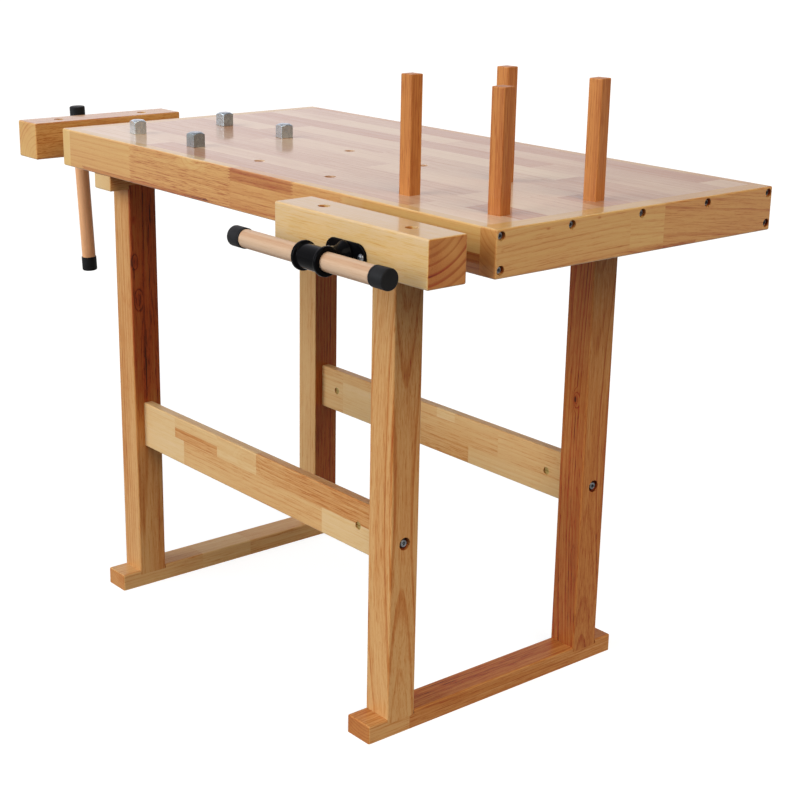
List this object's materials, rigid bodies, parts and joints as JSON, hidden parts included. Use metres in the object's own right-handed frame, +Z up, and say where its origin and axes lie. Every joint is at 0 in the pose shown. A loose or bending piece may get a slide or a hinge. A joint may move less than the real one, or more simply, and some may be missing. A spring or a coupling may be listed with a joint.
{
  "type": "woodworking bench with vises",
  "caption": "Woodworking bench with a laminated wooden top, framed trestle legs, a front vise and an end vise with wooden jaws, metal bench dogs and tall square pegs",
  "frame": {"origin": "on the floor, under the middle of the whole object's box", "axes": "+X runs along the top towards the front vise's end, +Y from the front (the front vise's side) to the back, +Z up"},
  "size_m": [1.4278, 0.7958, 1.08],
  "materials": {
    "top_wood": "laminated staves, clear gloss lacquer",
    "apron_wood": "finger-jointed, clear gloss lacquer",
    "end_board_wood": "clear gloss lacquer",
    "frame_wood": "clear satin lacquer",
    "stretcher_wood": "finger-jointed, clear satin lacquer",
    "jaw_wood": "clear gloss lacquer",
    "peg_wood": "clear satin lacquer",
    "handle_wood": "turned, clear satin lacquer",
    "black_rubber": "matt",
    "black_cast_iron": "gloss black paint on cast iron",
    "zinc_steel": "bright zinc plating",
    "bright_steel": "turned, oiled",
    "brass": "turned",
    "grey_plastic": "moulded"
  },
  "bodies": {
    "bench": {"top_panel": "top_wood", "front_apron": "apron_wood", "back_apron": "apron_wood", "right_end_board": "end_board_wood", "left_end_board": "end_board_wood", "end_board_bolts": "zinc_steel", "end_board_nuts": "bright_steel", "left_foot": "frame_wood", "right_foot": "frame_wood", "left_front_leg": "frame_wood", "left_back_leg": "frame_wood", "right_front_leg": "frame_wood", "right_back_leg": "frame_wood", "left_bearer": "frame_wood", "right_bearer": "frame_wood", "front_stretcher": "stretcher_wood", "back_stretcher": "stretcher_wood", "stretcher_bolts": "zinc_steel", "stretcher_nuts": "brass", "leg_screws": "zinc_steel", "top_brackets": "zinc_steel", "bracket_screws": "zinc_steel", "guide_bushes": "grey_plastic", "front_nut_body": "black_cast_iron", "end_nut_body": "black_cast_iron", "nut_body_screws": "zinc_steel"},
    "front_vise_jaw": {"front_jaw": "jaw_wood", "front_jaw_plate": "black_cast_iron", "front_plate_screws": "zinc_steel", "front_guide_rods": "bright_steel", "front_rod_pins": "bright_steel", "front_tie_bar": "zinc_steel", "front_tie_nuts": "zinc_steel"},
    "front_vise_screw": {"front_screw": "bright_steel", "front_hub": "black_cast_iron", "front_hub_pin": "bright_steel", "front_screw_collar": "bright_steel"},
    "front_vise_handle": {"front_handle": "handle_wood", "front_handle_caps": "black_rubber"},
    "end_vise_jaw": {"end_jaw": "jaw_wood", "end_jaw_plate": "black_cast_iron", "end_plate_screws": "zinc_steel", "end_guide_rods": "bright_steel", "end_rod_pins": "bright_steel", "end_tie_bar": "zinc_steel", "end_tie_nuts": "zinc_steel"},
    "end_vise_screw": {"end_screw": "bright_steel", "end_hub": "black_cast_iron", "end_hub_pin": "bright_steel", "end_screw_collar": "bright_steel"},
    "end_vise_handle": {"end_handle": "handle_wood", "end_handle_caps": "black_rubber"},
    "loose_dog_front_left": {"dog_front_left": "zinc_steel"},
    "loose_dog_front_right": {"dog_front_right": "zinc_steel"},
    "loose_dog_back_left": {"dog_back_left": "zinc_steel"},
    "loose_dog_back_right": {"dog_back_right": "zinc_steel"},
    "loose_peg_front_left": {"peg_front_left": "peg_wood"},
    "loose_peg_front_right": {"peg_front_right": "peg_wood"},
    "loose_peg_back_left": {"peg_back_left": "peg_wood"},
    "loose_peg_back_right": {"peg_back_right": "peg_wood"}
  },
  "joints": [
    {"name": "front_jaw_slide", "type": "slide", "parent": "bench", "child": "front_vise_jaw", "axis": [0, -1, 0], "range_m": [-0.0478, 0.102]},
    {"name": "front_screw_turn", "type": "hinge", "parent": "front_vise_jaw", "child": "front_vise_screw", "pos_m": [0.53638, -0.37612, 0.8515], "axis": [0, -1, 0], "range_deg": [-2880, 6130]},
    {"name": "front_handle_slide", "type": "slide", "parent": "front_vise_screw", "child": "front_vise_handle", "axis": [1, 0, 0], "range_m": [-0.1036, 0.1356]},
    {"name": "end_jaw_slide", "type": "slide", "parent": "bench", "child": "end_vise_jaw", "axis": [-1, 0, 0], "range_m": [-0.0798, 0.07]},
    {"name": "end_screw_turn", "type": "hinge", "parent": "end_vise_jaw", "child": "end_vise_screw", "pos_m": [-0.69212, -0.05112, 0.8515], "axis": [-1, 0, 0], "range_deg": [-4800, 4210]},
    {"name": "end_handle_slide", "type": "slide", "parent": "end_vise_screw", "child": "end_vise_handle", "axis": [0, -0.0436, 0.999], "range_m": [0, 0.2284]},
    {"name": "dog_front_left_lift", "type": "slide", "parent": "bench", "child": "loose_dog_front_left", "axis": [0, 0, 1], "range_m": [0, 0.035]},
    {"name": "dog_front_right_lift", "type": "slide", "parent": "bench", "child": "loose_dog_front_right", "axis": [0, 0, 1], "range_m": [0, 0.035]},
    {"name": "dog_back_left_lift", "type": "slide", "parent": "bench", "child": "loose_dog_back_left", "axis": [0, 0, 1], "range_m": [0, 0.035]},
    {"name": "dog_back_right_lift", "type": "slide", "parent": "bench", "child": "loose_dog_back_right", "axis": [0, 0, 1], "range_m": [0, 0.035]},
    {"name": "peg_front_left_lift", "type": "slide", "parent": "bench", "child": "loose_peg_front_left", "axis": [0, 0, 1], "range_m": [0, 0.035]},
    {"name": "peg_front_right_lift", "type": "slide", "parent": "bench", "child": "loose_peg_front_right", "axis": [0, 0, 1], "range_m": [0, 0.035]},
    {"name": "peg_back_left_lift", "type": "slide", "parent": "bench", "child": "loose_peg_back_left", "axis": [0, 0, 1], "range_m": [0, 0.035]},
    {"name": "peg_back_right_lift", "type": "slide", "parent": "bench", "child": "loose_peg_back_right", "axis": [0, 0, 1], "range_m": [0, 0.035]}
  ],
  "couplings": [
    {"joint": "front_screw_turn", "follows": "front_jaw_slide", "rad_per_m": 1047.2},
    {"joint": "end_screw_turn", "follows": "end_jaw_slide", "rad_per_m": 1047.2}
  ]
}
